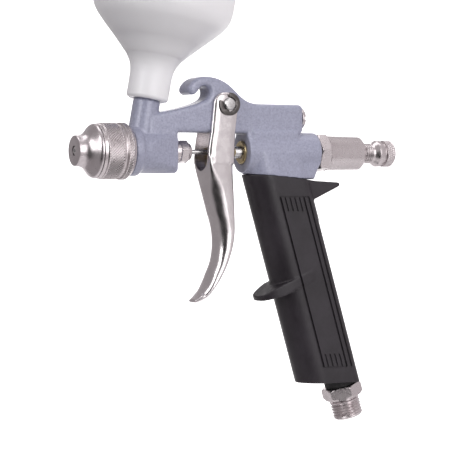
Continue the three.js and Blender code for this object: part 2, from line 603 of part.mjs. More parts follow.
function cupLid() {
  const shell = solid(turned([[LID.skirt, CUP_R - 0.8 + FIT], [LID.skirt, LID.r],
    [LID.top - 1.6, LID.r], [LID.top, LID.r - 1.8], [LID.top, VENT.r],
    [VENT.top, VENT.r], [VENT.top, 1.4], [LID.under, 1.4], [LID.under, CUP_R - 0.8 + FIT]], WIDE));
  const notches = [];
  for (let i = 0; i < 12; i += 1) {
    const angle = (i * Math.PI) / 6;
    notches.push(solid(rodZ(LID.skirt - 1, LID.top - 2.4, 1.6, 8)
      .translate((LID.r + 0.7) * Math.cos(angle), (LID.r + 0.7) * Math.sin(angle), 0)));
  }
  return shell.subtract(notches.reduce((a, b) => a.add(b)));
}

function ventCap() {
  return turned([[LID.top + FIT, VENT.r + FIT], [LID.top + FIT, 5.2], [VENT.top + 1, 5.2],
    [VENT.top + 2.2, 4.2], [VENT.top + 2.2, 0], [VENT.top + FIT, 0],
    [VENT.top + FIT, VENT.r + FIT]], FINE);
}

cup.add(piece("cup_body", cupBody(), cupPlastic()));
cup.add(piece("cup_seal", turned(tube(10.2, 10.75, 3.1, 5.1), FINE), rubber()));
cup.add(piece("cup_strainer", strainer(), sealPlastic()));
cup.add(piece("lid_liner", turned(tube(CUP_TOP + 0.2, LID.under - 0.2, 1.6, 28.8), WIDE),
  sealPlastic()));
cup.add(piece("cup_lid", cupLid(), lidPlastic()));
cup.add(piece("vent_cap", ventCap(), lidPlastic()));

// ---------------------------------------------------------------- origin
const inletEnd = new THREE.Vector3(INLET_OFFSET, 0, INLET_END).applyMatrix4(handle.matrix);
gun.position.copy(inletEnd).negate();

const group = new THREE.Group();
group.add(gun);

export default group;
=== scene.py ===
import json
import math

import bmesh
import bpy
from mathutils import Matrix, Vector


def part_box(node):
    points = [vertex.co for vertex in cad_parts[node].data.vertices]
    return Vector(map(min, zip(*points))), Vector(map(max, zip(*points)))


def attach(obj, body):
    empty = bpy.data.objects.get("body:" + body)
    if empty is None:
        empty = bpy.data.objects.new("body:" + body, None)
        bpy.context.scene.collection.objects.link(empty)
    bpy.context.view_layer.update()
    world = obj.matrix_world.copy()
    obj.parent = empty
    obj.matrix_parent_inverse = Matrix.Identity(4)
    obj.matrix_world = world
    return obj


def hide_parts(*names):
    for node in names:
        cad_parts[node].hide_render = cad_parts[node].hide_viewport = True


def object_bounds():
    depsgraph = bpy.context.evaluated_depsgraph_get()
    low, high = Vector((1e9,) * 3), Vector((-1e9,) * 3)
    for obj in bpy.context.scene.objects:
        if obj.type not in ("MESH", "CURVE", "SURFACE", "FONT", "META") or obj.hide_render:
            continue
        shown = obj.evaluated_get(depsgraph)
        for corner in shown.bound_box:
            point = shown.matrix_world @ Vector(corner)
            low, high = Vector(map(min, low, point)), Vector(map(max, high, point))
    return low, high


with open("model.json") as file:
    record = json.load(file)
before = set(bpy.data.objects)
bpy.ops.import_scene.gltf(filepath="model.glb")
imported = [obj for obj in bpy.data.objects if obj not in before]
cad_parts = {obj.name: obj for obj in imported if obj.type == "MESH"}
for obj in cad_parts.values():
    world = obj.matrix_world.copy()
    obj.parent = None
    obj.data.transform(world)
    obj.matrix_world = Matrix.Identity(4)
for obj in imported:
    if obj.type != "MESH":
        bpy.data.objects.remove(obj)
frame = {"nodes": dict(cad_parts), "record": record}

CAD_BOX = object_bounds()
MM = 0.001
TAU = 2 * math.pi

# ---------------------------------------------------------------- places read from the frame
JOINTS = {joint["name"]: joint for joint in frame["record"]["behaviour"]["joints"]}
SCALE = Matrix.Scale(MM, 4)
NEEDLE_TIP = -71.6  # needle's front end along the barrel, mm from the barrel's origin
needle_low, needle_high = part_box("fluid_needle")
ORIGIN = Vector((needle_low[0] - NEEDLE_TIP * MM, 0, (needle_low[2] + needle_high[2]) / 2))
BARREL = Matrix.Translation(ORIGIN) @ SCALE  # millimetres from the barrel's origin
ALONG_X = BARREL @ Matrix.Rotation(math.pi / 2, 4, "Y")  # a turned piece's axis laid on the barrel
SIDE = BARREL @ Matrix.Rotation(math.pi / 2, 4, "X")  # a side view, swept across the gun

cup_axis = Vector(JOINTS["cup_turn"]["axis"])
CUP_TILT = math.atan2(cup_axis.x, cup_axis.z)
CUP_ORIGIN = Vector(JOINTS["cup_turn"]["pos_m"]) - 10 * MM * cup_axis
CUP = Matrix.Translation(CUP_ORIGIN) @ Matrix.Rotation(CUP_TILT, 4, "Y") @ SCALE

inlet_axis = -Vector(frame["record"]["mounts"][0]["axis"])
GRIP_TILT = math.atan2(inlet_axis.x, inlet_axis.z)
INLET_OFFSET = 6.97  # inlet axis behind the middle of the grip
INLET_END = -112.8
HANDLE = (Matrix.Rotation(GRIP_TILT, 4, "Y") @ SCALE
          @ Matrix.Translation((-INLET_OFFSET, 0, -INLET_END)))
INLET = HANDLE @ Matrix.Translation((INLET_OFFSET, 0, 0))

PIN_X = (JOINTS["trigger_pull"]["pos_m"][0] - ORIGIN.x) / MM
PIN_Z = (JOINTS["trigger_pull"]["pos_m"][2] - ORIGIN.z) / MM
PIN = SIDE @ Matrix.Translation((PIN_X, PIN_Z, 0))  # +Z toward the near side


# ---------------------------------------------------------------- mesh helpers
def mesh_object(name, points, faces, place=Matrix.Identity(4)):
    """A new object at the origin with its mesh put in place, facing out."""
    mesh = bpy.data.meshes.new(name)
    mesh.from_pydata([place @ Vector(p) for p in points], [], faces)
    work = bmesh.new()
    work.from_mesh(mesh)
    bmesh.ops.remove_doubles(work, verts=work.verts, dist=1e-7)
    bmesh.ops.recalc_face_normals(work, faces=work.faces)
    work.to_mesh(mesh)
    work.free()
    obj = bpy.data.objects.new(name, mesh)
    bpy.context.collection.objects.link(obj)
    return obj


def soften(points, radius=0.25, steps=3, closed=False):
    """Rounds the corners of a polyline with short curves."""
    pts = [Vector(p) for p in points]
    out = []
    for i, here in enumerate(pts):
        if not closed and i in (0, len(pts) - 1):
            out.append(here)
            continue
        before, after = pts[i - 1], pts[(i + 1) % len(pts)]
        room = min(radius, 0.42 * (before - here).length, 0.42 * (after - here).length)
        start = here + (before - here).normalized() * room
        end = here + (after - here).normalized() * room
        for k in range(steps + 1):
            t = k / steps
            out.append(start * (1 - t) ** 2 + here * 2 * t * (1 - t) + end * t * t)
    return [tuple(p) for p in out]


def bezier(*control, steps=16):
    """Points along one quadratic or cubic curve, without its first point."""
    out = []
    degree = len(control) - 1
    for k in range(1, steps + 1):
        t = k / steps
        out.append(tuple(
            sum(math.comb(degree, j) * (1 - t) ** (degree - j) * t ** j * control[j][axis]
                for j in range(degree + 1)) for axis in (0, 1)))
    return out


def arc(x, y, radius, start, end, steps=24):
    """Points round a circle, in degrees."""
    angles = [math.radians(start + (end - start) * k / steps) for k in range(steps + 1)]
    return [(x + radius * math.cos(a), y + radius * math.sin(a)) for a in angles]


def refined(profile, low, high, step):
    """Adds points to the stretch of a profile between two heights, so that it can carry ridges."""
    out = [profile[0]]
    for a, b in zip(profile, profile[1:]):
        inside = min(a[0], b[0]) >= low - 1e-6 and max(a[0], b[0]) <= high + 1e-6
        count = max(1, round(abs(b[0] - a[0]) / step)) if inside else 1
        out += [(a[0] + (b[0] - a[0]) * k / count, a[1] + (b[1] - a[1]) * k / count)
                for k in range(1, count + 1)]
    return out


def turned(name, profile, place, around=96, relief=None):
    """Turns (height, radius) points round +Z; relief(angle, height, radius) reshapes the radius."""
    on_axis = profile[0][1] == 0
    rows = []
    points = []
    for height, radius in profile:
        if radius == 0:
            rows.append([len(points)] * around)
            points.append((0, 0, height))
            continue
        row = []
        for k in range(around):
            angle = TAU * k / around
            r = relief(angle, height, radius) if relief else radius
            row.append(len(points))
            points.append((r * math.cos(angle), r * math.sin(angle), height))
        rows.append(row)
    if not on_axis:
        rows.append(rows[0])
    faces = []
    for lower, upper in zip(rows, rows[1:]):
        for k in range(around):
            n = (k + 1) % around
            ring = [lower[k], lower[n], upper[n], upper[k]]
            face = list(dict.fromkeys(ring))
            if len(face) > 2:
                faces.append(face)
    return mesh_object(name, points, faces, place)


def inset(points, amount):
    """An outline moved inward by an amount, corner by corner."""
    area = sum(a[0] * b[1] - b[0] * a[1] for a, b in zip(points, points[1:] + points[:1]))
    sign = 1 if area > 0 else -1
    out = []
    for i, (x, y) in enumerate(points):
        px, py = points[i - 1]
        qx, qy = points[(i + 1) % len(points)]
        tangent = Vector((qx - px, qy - py)).normalized()
        out.append((x - tangent.y * amount * sign, y + tangent.x * amount * sign))
    return out


def prism(name, outline, low, high, place, edge=0.0, steps=4, spread=None):
    """An outline in XY swept from low to high; both ends curve in over edge by spread."""
    if edge:
        levels = [(low + edge * (1 - math.cos(math.pi / 2 * k / steps)),
                   (spread or edge) * (1 - math.sin(math.pi / 2 * k / steps)))
                  for k in range(steps + 1)]
        levels += [(high - (z - low), d) for z, d in reversed(levels)]
    else:
        levels = [(low, 0), (high, 0)]
    points = []
    for z, d in levels:
        points += [(x, y, z) for x, y in (inset(outline, d) if d else outline)]
    n = len(outline)
    faces = [list(range(n)), list(range(len(points) - n, len(points)))]
    for k in range(len(levels) - 1):
        for i in range(n):
            j = (i + 1) % n
            faces.append([k * n + i, k * n + j, (k + 1) * n + j, (k + 1) * n + i])
    return mesh_object(name, points, faces, place)


def applied(obj):
    """Bakes an object's modifiers into its mesh."""
    graph = bpy.context.evaluated_depsgraph_get()
    mesh = bpy.data.meshes.new_from_object(obj.evaluated_get(graph))
    old = obj.data
    obj.modifiers.clear()
    obj.data = mesh
    bpy.data.meshes.remove(old)
    return obj


def combine(obj, tools, how, overlapping=False):
    """Joins, cuts or intersects with other solids, which are used up."""
    for tool in tools:
        step = obj.modifiers.new(how, "BOOLEAN")
        step.operation = how
        step.solver = "EXACT"
        step.use_self = overlapping
        step.object = tool
        applied(obj)
        bpy.data.objects.remove(tool)
    return obj


def gathered(parts):
    """Puts several meshes into the first one's object."""
    base, *rest = parts
    work = bmesh.new()
    for part in parts:
        work.from_mesh(part.data)
    work.to_mesh(base.data)
    work.free()
    for part in rest:
        bpy.data.objects.remove(part)
    return base


def fused(parts, voxel, passes):
    """Melts overlapping solids into one skin with soft edges and corners, as a casting has."""
    obj = gathered(parts)
    remesh = obj.modifiers.new("skin", "REMESH")
    remesh.mode = "VOXEL"
    remesh.voxel_size = voxel * MM
    smooth = obj.modifiers.new("soften", "SMOOTH")
    smooth.factor = 0.5
    smooth.iterations = passes
    return applied(obj)


def shaded(obj, sharp=35):
    """Smooth shading that keeps real edges crisp."""
    for face in obj.data.polygons:
        face.use_smooth = True
    if sharp:
        obj.data.set_sharp_from_angle(angle=math.radians(sharp))
    return obj


def finish_piece(obj, body, node, material, sharp=35):
    """Shades a piece, gives it its material and lets it stand for a CAD node on a body."""
    obj.data.materials.clear()
    obj.data.materials.append(material)
    shaded(obj, sharp)
    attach(obj, body)
    if node:
        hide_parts(node)
    return obj


# ---------------------------------------------------------------- reliefs
def hexagon(flats, low, high, turn):
    """Cuts a turned blank to a hexagon between two heights."""
    def relief(angle, height, radius):
        if height < low or height > high:
            return radius
        off = (angle - turn + math.pi / 6) % (math.pi / 3) - math.pi / 6
        return min(radius, flats / 2 / math.cos(off))
    return relief


def ridge(value):
    """A triangle wave from 0 to 1."""
    return abs(2 * (value % 1) - 1)


def thread(pitch, depth, low, high):
    """A helical thread that fades out at both ends."""
    def relief(angle, height, radius):
        if height < low or height > high:
            return radius
        fade = min(1, (height - low) / pitch, (high - height) / pitch)
        wave = ridge(height / pitch - angle / TAU)
        return radius - depth * fade * min(1, 1.25 * wave)
    return relief


def knurl(count, pitch, depth, bands, crossed=True):
    """Diamond knurling, or slanting flutes, on the stated bands."""
    def relief(angle, height, radius):
        for low, high in bands:
            if low <= height <= high:
                fade = min(1, (height - low) / 0.35, (high - height) / 0.35)
                a = ridge(count * angle / TAU + height / pitch)
                b = ridge(count * angle / TAU - height / pitch) if crossed else a
                return radius - depth * fade * (1 - min(a, b) * 1.4 if min(a, b) < 0.7 else 0.02)
        return radius
    return relief


# ---------------------------------------------------------------- materials
class Look:
    """A principled material with short ways to add noise, ramps and bumps."""

    def __init__(self, name, color, roughness, metallic=0.0):
        self.material = bpy.data.materials.new(name)
        self.material.use_nodes = True
        tree = self.material.node_tree
        self.nodes, self.links = tree.nodes, tree.links
        self.shader = self.nodes["Principled BSDF"]
        self.set("Base Color", (*color, 1))
        self.set("Roughness", roughness)
        self.set("Metallic", metallic)
        self.coords = self.nodes.new("ShaderNodeTexCoord").outputs["Object"]

    def set(self, socket, value):
        self.shader.inputs[socket].default_value = value
        return self

    def noise(self, per_mm, detail=4.0, rough=0.55):
        node = self.nodes.new("ShaderNodeTexNoise")
        node.inputs["Scale"].default_value = per_mm / MM
        node.inputs["Detail"].default_value = detail
        node.inputs["Roughness"].default_value = rough
        self.links.new(self.coords, node.inputs["Vector"])
        return node.outputs["Fac"]

    def cells(self, per_mm, smoothness=1.0):
        node = self.nodes.new("ShaderNodeTexVoronoi")
        node.feature = "SMOOTH_F1"
        node.inputs["Scale"].default_value = per_mm / MM
        node.inputs["Smoothness"].default_value = smoothness
        self.links.new(self.coords, node.inputs["Vector"])
        return node.outputs["Distance"]

    def remap(self, value, low, high, out_low, out_high):
        node = self.nodes.new("ShaderNodeMapRange")
        for socket, number in (("From Min", low), ("From Max", high),
                               ("To Min", out_low), ("To Max", out_high)):
            node.inputs[socket].default_value = number
        self.links.new(value, node.inputs["Value"])
        return node.outputs["Result"]

    def along(self, direction):
        """How far a point lies along a direction."""
        node = self.nodes.new("ShaderNodeVectorMath")
        node.operation = "DOT_PRODUCT"
        node.inputs[1].default_value = direction
        self.links.new(self.coords, node.inputs[0])
        return node.outputs["Value"]

    def sum_up(self, operation, *values):
        node = self.nodes.new("ShaderNodeMath")
        node.operation = operation
        for value, socket in zip(values, node.inputs):
            self.links.new(value, socket)
        return node.outputs["Value"]

    def absolute(self, value):
        return self.sum_up("ABSOLUTE", value)

    def times(self, a, b):
        return self.sum_up("MULTIPLY", a, b)

    def tint(self, value, dark, light, low=0.3, high=0.7):
        ramp = self.nodes.new("ShaderNodeValToRGB")
        ramp.color_ramp.elements[0].position = low
        ramp.color_ramp.elements[0].color = (*dark, 1)
        ramp.color_ramp.elements[1].position = high
        ramp.color_ramp.elements[1].color = (*light, 1)
        self.links.new(value, ramp.inputs["Fac"])
        self.links.new(ramp.outputs["Color"], self.shader.inputs["Base Color"])
        return self

    def vary_roughness(self, value, smooth, rough, low=0.35, high=0.65):
        self.links.new(self.remap(value, low, high, smooth, rough), self.shader.inputs["Roughness"])
        return self

    def bump(self, value, height_mm, strength=1.0, under=None):
        node = self.nodes.new("ShaderNodeBump")
        node.inputs["Strength"].default_value = strength
        node.inputs["Distance"].default_value = height_mm * MM
        self.links.new(value, node.inputs["Height"])
        if under:
            self.links.new(under, node.inputs["Normal"])
        self.links.new(node.outputs["Normal"], self.shader.inputs["Normal"])
        return node.outputs["Normal"]


def hammertone():
    look = Look("hammertone_enamel", (0.36, 0.36, 0.46), 0.42, 0.1)
    mottle = look.noise(1.15, 5, 0.68)
    look.tint(mottle, (0.285, 0.298, 0.400), (0.420, 0.430, 0.555), 0.33, 0.68)
    look.vary_roughness(look.noise(1.3, 3), 0.36, 0.50)
    base = look.bump(look.cells(1.0), 0.12, 0.45)
    look.bump(look.noise(3.0, 3), 0.04, 0.5, under=base)
    look.set("Coat Weight", 0.8)
    look.set("Coat Roughness", 0.26)
    return look.material


def metal(name, dark, light, smooth, rough, grain=0.35, bump=0.0001):
    look = Look(name, light, smooth, 1.0)
    look.tint(look.noise(0.12, 5, 0.6), dark, light, 0.3, 0.62)
    look.vary_roughness(look.noise(grain, 5, 0.6), smooth, rough)
    look.bump(look.noise(grain * 2.2, 4, 0.6), bump, 0.7)
    return look.material


def plastic(name, dark, light, smooth, rough, grain=2.0, bump=0.03):
    look = Look(name, light, smooth)
    look.tint(look.noise(0.08, 6, 0.6), dark, light, 0.35, 0.65)
    look.vary_roughness(look.noise(0.35, 5), smooth, rough)
    look.bump(look.noise(grain, 3), bump, 0.6)
    return look.material


def milky():
    look = Look("milky_nylon", (0.82, 0.82, 0.87), 0.34)
    look.tint(look.noise(0.02, 4), (0.89, 0.885, 0.92), (0.94, 0.935, 0.96), 0.35, 0.65)
    look.vary_roughness(look.noise(0.3, 4), 0.30, 0.42)
    look.bump(look.noise(0.12, 3), 0.05, 0.4)
    look.set("Subsurface Weight", 0.25)
    look.set("Subsurface Radius", (1.0, 0.98, 1.0))
    look.set("Subsurface Scale", 0.003)
    return look.material


PAINT = hammertone()
NICKEL = metal("satin_nickel", (0.59, 0.54, 0.55), (0.65, 0.60, 0.61), 0.25, 0.31)
CHROME = metal("polished_chrome", (0.70, 0.66, 0.67), (0.78, 0.74, 0.75), 0.19, 0.27)
MIRROR = metal("bright_nickel", (0.58, 0.53, 0.545), (0.68, 0.63, 0.645), 0.27, 0.33)
STEEL = metal("turned_steel", (0.50, 0.49, 0.49), (0.66, 0.65, 0.65), 0.20, 0.34)
SPRING = metal("spring_wire", (0.26, 0.26, 0.27), (0.42, 0.42, 0.43), 0.25, 0.4)
DARK = metal("blued_steel", (0.075, 0.068, 0.066), (0.15, 0.138, 0.135), 0.28, 0.45, 1.5, 0.004)
BRASS = metal("turned_brass", (0.40, 0.32, 0.17), (0.60, 0.50, 0.30), 0.20, 0.34)
GRIP = plastic("grip_nylon", (0.0165, 0.0130, 0.0170), (0.0275, 0.0225, 0.0290), 0.36, 0.48, 2.2, 0.02)
LID = plastic("lid_plastic", (0.020, 0.020, 0.022), (0.034, 0.033, 0.036), 0.34, 0.48, 1.4, 0.03)
SEAL = plastic("white_ptfe", (0.74, 0.72, 0.66), (0.86, 0.84, 0.79), 0.35, 0.5, 1.5, 0.02)
RUBBER = plastic("black_rubber", (0.012, 0.011, 0.012), (0.022, 0.021, 0.022), 0.55, 0.75, 2.6, 0.04)
CUP_NYLON = milky()


# ---------------------------------------------------------------- gun body
STUB_R = 5.75
STUB_TOP = 1.6  # the shoulder under the cup, on the cup's axis
WEB_HALF = 5.8
WINDOW = (-27.3, 5.5)  # front and rear of the trigger window
CHEEK_START = -41.6
BLOCK_R = 9.2
REAR_R = 8.9
CHANNEL_Z = 15.0
PIN_HOLE_R = 2.65
GRIP_DEPTH = 26.5
GRIP_WIDTH = 19.0


def grip_section(depth, width, corner):
    """Top view of the grip: half-round in front, squarer behind."""
    half, side = depth / 2, width / 2
    return (arc(-half + side, 0, side, 90, 270, 40)
            + arc(half - corner, -side + corner, corner, -90, 0, 10)
            + arc(half - corner, side - corner, corner, 0, 90, 10))


def web_outline():
    """Side view of the beam over the window, with the hanging hook."""
    points = [(-41, 3), (-41, 15.2), (-33, 16.9)]
    points += bezier((-33, 16.9), (-20, 19.3), (-15.2, 21.6))
    points += bezier((-15.2, 21.6), (-12.2, 22.8), (-12.2, 25.2))
    points += bezier((-12.2, 25.2), (-12.2, 28.0), (-14.6, 28.0), steps=10)
    points += bezier((-14.6, 28.0), (-16.2, 28.0), (-17.4, 26.0), steps=10)
    points += bezier((-17.4, 26.0), (-19.2, 23.3), (-21.2, 24.5), steps=10)
    points += bezier((-21.2, 24.5), (-23.0, 25.8), (-21.6, 28.2), steps=10)
    points += bezier((-21.6, 28.2), (-19.0, 32.0), (-14.0, 32.0), steps=12)
    points += bezier((-14.0, 32.0), (-8.0, 32.0), (-4.2, 30.2), (0.0, 26.4))
    points += bezier((0.0, 26.4), (4.0, 22.6), (6.5, 20.8), (12.0, 20.8))
    rear = [(31.6, 20.8), (33.0, 19.4), (33.0, 9.4), (30.5, 7.0), (30.5, 3)]
    window = [(WINDOW[1], 3), (WINDOW[1], 8.1), (WINDOW[0], 8.1), (WINDOW[0], 3)]
    return points + rear + window


def front_block(rear):
    """The round block behind the nose, its cheeks tapering in to the beam's width."""
    block = turned("gun_casting", [(-57, 0), (-57, 8.8), (-56.5, 9.3), (-48.3, 9.3), (-48.3, 10.5),
        (-44.9, 10.5), (-43.5, BLOCK_R), (rear - 1.6, BLOCK_R), (rear, BLOCK_R - 1.6), (rear, 0)],
        ALONG_X, 96)
    plan = [(-58, -12), (CHEEK_START, -12), (CHEEK_START, -BLOCK_R), (rear + 1, -WEB_HALF),
            (rear + 1, WEB_HALF), (CHEEK_START, BLOCK_R), (CHEEK_START, 12), (-58, 12)]
    return combine(block, [prism("cheeks", plan, -12, 12, BARREL)], "INTERSECT")


def saddle():
    """The casting's foot on the grip, with the grip's own section."""
    foot = prism("saddle", grip_section(GRIP_DEPTH - 0.6, GRIP_WIDTH - 0.6, 4), -24, 12, HANDLE)
    side = [(4, 0), (4, -9.3), (7.0, -9.3), (34.6, -11.5), (37.6, -11.7), (36.5, -6), (34, 0)]
    return combine(foot, [prism("saddle_side", side, -15, 15, SIDE)], "INTERSECT")


def body_casting():
    """The casting: two blocks on the barrel, the beam with its hook, the stub and the grip saddle."""
    front, rear = WINDOW
    blocks = [
        front_block(front),
        turned("rear_block", [(rear, 0), (rear, REAR_R), (40.5, REAR_R), (40.5, 0)], ALONG_X, 96),
        prism("web", web_outline(), -WEB_HALF, WEB_HALF, SIDE, edge=1.7),
        turned("stub", [(-20, 0), (-20, STUB_R), (STUB_TOP, STUB_R), (STUB_TOP, 5.0), (10.1, 5.0),
                        (10.1, 0)], CUP, 72),
        saddle(),
        prism("keel", [(-47, -0.6), (front, -WEB_HALF), (front, WEB_HALF), (-47, 0.6)], -BLOCK_R, 0,
              BARREL, edge=2.4),
        prism("gusset", [(28, 0), (40.2, 0), (40.1, -5.5), (37.6, -11.6), (28, -11.0)], -7.8, 7.8,
              SIDE, edge=1.5),
        prism("fillet", [(8, 2), (8, 9.5), (30, 9.5), (30, 2)], -7.2, 7.2, SIDE, edge=1.5),
    ]
    casting = fused(blocks, 0.4, 5)
    bores = [(-60, -47.6, 4.9, 0), (-48, -36, 2.2, 0), (-36.6, front + 2, 3.9, 0),
             (rear - 2, 13.2, 5.3, 0), (13, 42, 6.3, 0), (27, 36, 3.3, CHANNEL_Z)]
    tools = []
    for low, high, radius, lift in bores:
        place = BARREL @ Matrix.Translation((0, 0, lift)) @ Matrix.Rotation(math.pi / 2, 4, "Y")
        tools.append(turned("bore", [(low, 0), (low, radius), (high, radius), (high, 0)], place, 48))
    tools.append(turned("pin_bore", [(-9, 0), (-9, PIN_HOLE_R), (9, PIN_HOLE_R), (9, 0)], PIN, 48))
    tools.append(turned("cup_bore", [(-18, 0), (-18, 2.9), (11, 2.9), (11, 0)], CUP, 48))
    combine(casting, [combine(tools[0], tools[1:], "UNION")], "DIFFERENCE")
    return finish_piece(casting, "gun", "gun_body", PAINT, sharp=50)


body_casting()


# ---------------------------------------------------------------- nose
def air_cap():
    outside = [(-72.5, 2.08), (-72.5, 6.0), (-72.35, 6.3), (-72.0, 6.42)]
    outside += bezier((-72.0, 6.42), (-69.9, 6.5), (-68.6, 7.15), steps=14)
    outside += bezier((-68.6, 7.15), (-67.2, 7.9), (-66.0, 9.7), (-64.9, 10.8), steps=24)
    outside += bezier((-64.9, 10.8), (-64.3, 11.35), (-63.5, 11.4), steps=8) + [(-63.5, 9.0)]
    inside = [(-60.7, 9.0), (-60.7, 8.5), (-59.8, 8.5), (-59.8, 9.0), (-58.2, 9.0), (-58.2, 7.9),
        (-64.5, 7.9), (-70.6, 3.1), (-71.3, 2.08)]
    profile = outside + inside
    obj = turned("air_cap_dome", profile, ALONG_X, 128)
    return finish_piece(obj, "cap", "air_cap", MIRROR)


RING_FLUTES = 60


def retaining_ring():
    profile = soften([(-63.2, 9.3), (-63.2, 11.4), (-61.7, 11.55), (-61.3, 11.85), (-54.3, 11.85),
        (-53.9, 11.2), (-52.8, 11.2), (-52.4, 12.0), (-50.2, 12.0), (-49.7, 11.3), (-48.7, 10.9),
        (-48.7, 9.6), (-57.4, 9.6), (-57.4, 10.4), (-60.7, 10.4), (-60.7, 9.3)], 0.22, 3, closed=True)
    relief = knurl(RING_FLUTES, 1.25, 0.42, [(-61.2, -54.4), (-52.3, -50.3)], crossed=False)

    def outside_only(angle, height, radius):
        return relief(angle, height, radius) if radius > 11.6 else radius
    fine = refined(profile, -61.4, -50.1, 0.16)
    obj = turned("nose_ring", fine, ALONG_X, RING_FLUTES * 10, outside_only)
    return finish_piece(obj, "ring", "air_cap_ring", NICKEL, sharp=0)


def fluid_nozzle():
    profile = soften([(-72.2, 0.6), (-72.2, 1.72), (-70.9, 1.78), (-70.4, 2.1), (-65.6, 5.2),
        (-65.6, 6.4), (-60.6, 6.4), (-60.6, 7.4), (-58.6, 7.4), (-58.6, 4.6), (-48.2, 4.6),
        (-48.2, 2.4), (-66.5, 2.4), (-68.6, 1.5), (-71.3, 0.6)], 0.12, 3, closed=True)
    obj = turned("fluid_tip", profile, ALONG_X, 96, hexagon(12.0, -65.5, -60.7, 0.2))
    return finish_piece(obj, "gun", "fluid_nozzle", STEEL)


air_cap()
retaining_ring()
fluid_nozzle()


# ---------------------------------------------------------------- needle, packing nut and valve
def needle():
    profile = [(NEEDLE_TIP, 0), (NEEDLE_TIP, 0.35), (-68.8, 1.0), (65.4, 1.0), (66.0, 0.5), (66.0, 0)]
    obj = turned("needle_rod", profile, ALONG_X, 40)
    return finish_piece(obj, "needle", "fluid_needle", STEEL)


def packing_nut():
    front = WINDOW[0] + 0.3
    profile = soften([(-32, 1.3), (-32, 3.6), (front - 0.2, 3.6), (front, 4.4), (-25.0, 4.4),
        (-24.6, 4.9), (-24.2, 5.3), (-21.9, 5.3), (-21.4, 4.9), (-21.4, 3.9), (-19.9, 3.7),
        (-19.6, 3.3), (-19.6, 1.3)], 0.2, 3, closed=True)
    relief = hexagon(8.9, -24.7, -21.4, -0.16)
    obj = turned("gland_nut", profile, ALONG_X, 96, relief)
    return finish_piece(obj, "gun", "packing_nut", NICKEL)


def valve_stem():
    profile = soften([(0.4, 1.3), (0.4, 2.2), (0.8, 2.6), (15.2, 2.6), (16.5, 4.4), (17.1, 5.2),
        (19.2, 5.2), (19.2, 2.6), (24, 2.6), (24, 1.95), (44.9, 1.95), (44.9, 1.3)],
        0.12, 2, closed=True)
    obj = turned("valve_rod", profile, ALONG_X, 64)
    return finish_piece(obj, "valve_stem", "air_valve_stem", STEEL)


def valve_gland():
    profile = soften([(4.7, 2.9), (4.7, 4.6), (5.1, 5.0), (9.3, 5.0), (9.3, 2.9)], 0.2, 3, closed=True)
    obj = turned("valve_gland_nut", profile, ALONG_X, 64)
    return finish_piece(obj, "gun", "air_valve_gland", BRASS)


needle()
packing_nut()
valve_stem()
valve_gland()


# ---------------------------------------------------------------- rear: spring housing, seal, knob
def spring_housing():
    profile = soften([(34, 2.25), (34, 6.0), (41.3, 6.0), (41.3, 7.9), (42.0, 8.66), (45.5, 8.66),
        (46.2, 7.9), (46.4, 7.6), (63, 7.3), (64.7, 5.7), (65, 5.3), (65, 4.75), (44.2, 4.75),
        (44.2, 2.25)], 0.25, 3, closed=True)
    obj = turned("spring_sleeve", profile, ALONG_X, 120, hexagon(15, 41.25, 46.3, -0.16))
    return finish_piece(obj, "gun", "spring_housing", NICKEL)


def housing_seal():
    profile = soften([(40.65, 6.4), (40.65, 8.0), (41.15, 8.0), (41.15, 6.4)], 0.12, 3, closed=True)
    obj = turned("fibre_seal", profile, ALONG_X, 96)
    return finish_piece(obj, "gun", "housing_seal", DARK)


def knob():
    profile = soften([(62.6, 1.7), (62.6, 3.9), (63.1, 4.4), (69.6, 4.4), (70.3, 4.5), (72.2, 5.8),
        (74.2, 5.8), (74.2, 4.9), (75.8, 4.9), (75.8, 5.8), (79.3, 5.8), (80.3, 4.9), (80.3, 0)],
        0.2, 3)
    profile += [(75, 0), (74.2, 1.7)]
    profile = refined(refined(profile, 63.0, 69.7, 0.1), 75.6, 79.6, 0.14)
    ribs = knurl(36, 2.2, 0.26, [(76.0, 79.2)])
    screw = thread(1.0, 0.42, 63.1, 69.6)

    def relief(angle, height, radius):
        if radius < 4.0:
            return radius
        return screw(angle, height, radius) if height < 70 else ribs(angle, height, radius)
    obj = turned("adjusting_knob", profile, ALONG_X, 36 * 6, relief)
    return finish_piece(obj, "knob", "fluid_knob", NICKEL, sharp=0)


def channel_plug():
    place = BARREL @ Matrix.Translation((0, 0, CHANNEL_Z)) @ Matrix.Rotation(math.pi / 2, 4, "Y")
    profile = soften([(28.2, 0), (28.2, 3.0), (33.3, 3.0), (33.3, 4.6), (34.6, 4.6), (35.2, 3.9),
        (35.2, 0)], 0.25, 3)
    obj = turned("beam_plug", profile, place, 96)
    slot = prism("slot", [(-0.6, -6), (0.6, -6), (0.6, 6), (-0.6, 6)], 34.2, 36, place)
    combine(obj, [slot], "DIFFERENCE")
    return finish_piece(obj, "gun", "channel_plug", NICKEL)


spring_housing()
housing_seal()
knob()
channel_plug()


# ---------------------------------------------------------------- trigger
TRIGGER_HALF = 8.0
EAR_INNER = WEB_HALF + 0.3
CLIP_LOW = 8.25
CLIP_LUGS = (126, 245, 7)  # middles of the clip's lugs, in degrees


